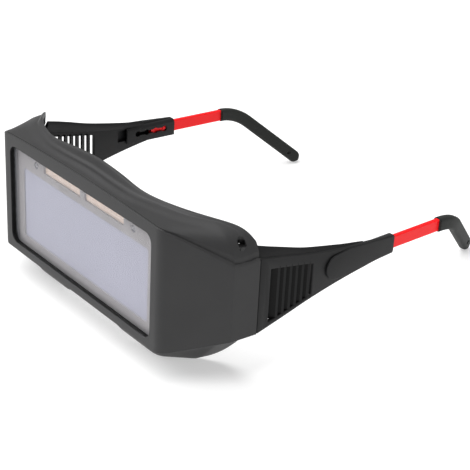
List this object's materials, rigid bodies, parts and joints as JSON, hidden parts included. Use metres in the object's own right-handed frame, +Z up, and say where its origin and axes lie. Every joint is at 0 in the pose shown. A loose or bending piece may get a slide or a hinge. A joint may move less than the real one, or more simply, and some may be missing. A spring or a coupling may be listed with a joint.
{
  "type": "welding goggles",
  "caption": "Wide auto-darkening welding goggles: window shell with brow and cheek flanges on folding, length-adjustable louvred spectacle arms.",
  "frame": {"origin": "under the middle of the bounding box, level with the lowest rims of the cheek flanges", "axes": "+X towards the right-hand side as seen from the front, which is the wearer's left; +Y from the lens back along the arms; +Z up"},
  "size_m": [0.164, 0.1762, 0.0713],
  "materials": {
    "shell_plastic": "fine spark-eroded texture, matte",
    "frame_plastic": "smooth moulded, satin",
    "arm_plastic": "fine spark-eroded texture, satin",
    "slider_plastic": "bright moulded red, satin gloss",
    "tip_rubber": "soft matte rubber with a fine grain",
    "cover_plate": "clear polycarbonate sheet",
    "filter_glass": "mirror-coated interference filter glass",
    "polariser_film": "thin polarising film",
    "cell_glass": "liquid crystal cell glass",
    "circuit_board": "solder-masked board",
    "cell_steel": "nickel-plated steel can",
    "seal_foam": "closed-cell foam",
    "solar_cell": "amorphous silicon cell under a clear coat",
    "sensor_epoxy": "dark epoxy dome",
    "pin_steel": "drawn steel wire pin"
  },
  "bodies": {
    "housing": {"goggle_shell": "shell_plastic", "lens_retainer": "frame_plastic", "cartridge_front_frame": "frame_plastic", "cartridge_rear_frame": "frame_plastic", "front_cover_lens": "cover_plate", "inner_cover_lens": "cover_plate", "uv_ir_filter_glass": "filter_glass", "front_polariser": "polariser_film", "middle_polariser": "polariser_film", "rear_polariser": "polariser_film", "outer_liquid_crystal_cell": "cell_glass", "inner_liquid_crystal_cell": "cell_glass", "control_board": "circuit_board", "button_cells": "cell_steel", "cartridge_seal": "seal_foam", "solar_cell_right": "solar_cell", "solar_cell_left": "solar_cell", "arc_sensor_right": "sensor_epoxy", "arc_sensor_left": "sensor_epoxy", "hinge_pin_right": "pin_steel", "hinge_pin_left": "pin_steel"},
    "right_arm": {"temple_arm_right": "arm_plastic"},
    "left_arm": {"temple_arm_left": "arm_plastic"},
    "right_end": {"slider_right": "slider_plastic", "temple_tip_right": "tip_rubber"},
    "left_end": {"slider_left": "slider_plastic", "temple_tip_left": "tip_rubber"}
  },
  "joints": [
    {"name": "right_arm_fold", "type": "hinge", "parent": "housing", "child": "right_arm", "pos_m": [0.0752, -0.0618, 0.03804], "axis": [0, 0, 1], "range_deg": [0, 80]},
    {"name": "left_arm_fold", "type": "hinge", "parent": "housing", "child": "left_arm", "pos_m": [-0.0752, -0.0618, 0.03804], "axis": [0, 0, -1], "range_deg": [0, 42]},
    {"name": "right_length_slide", "type": "slide", "parent": "right_arm", "child": "right_end", "axis": [-0.0436, 0.999, 0], "range_m": [-0.0153, 0]},
    {"name": "left_length_slide", "type": "slide", "parent": "left_arm", "child": "left_end", "axis": [0.0436, 0.999, 0], "range_m": [-0.0153, 0]}
  ]
}
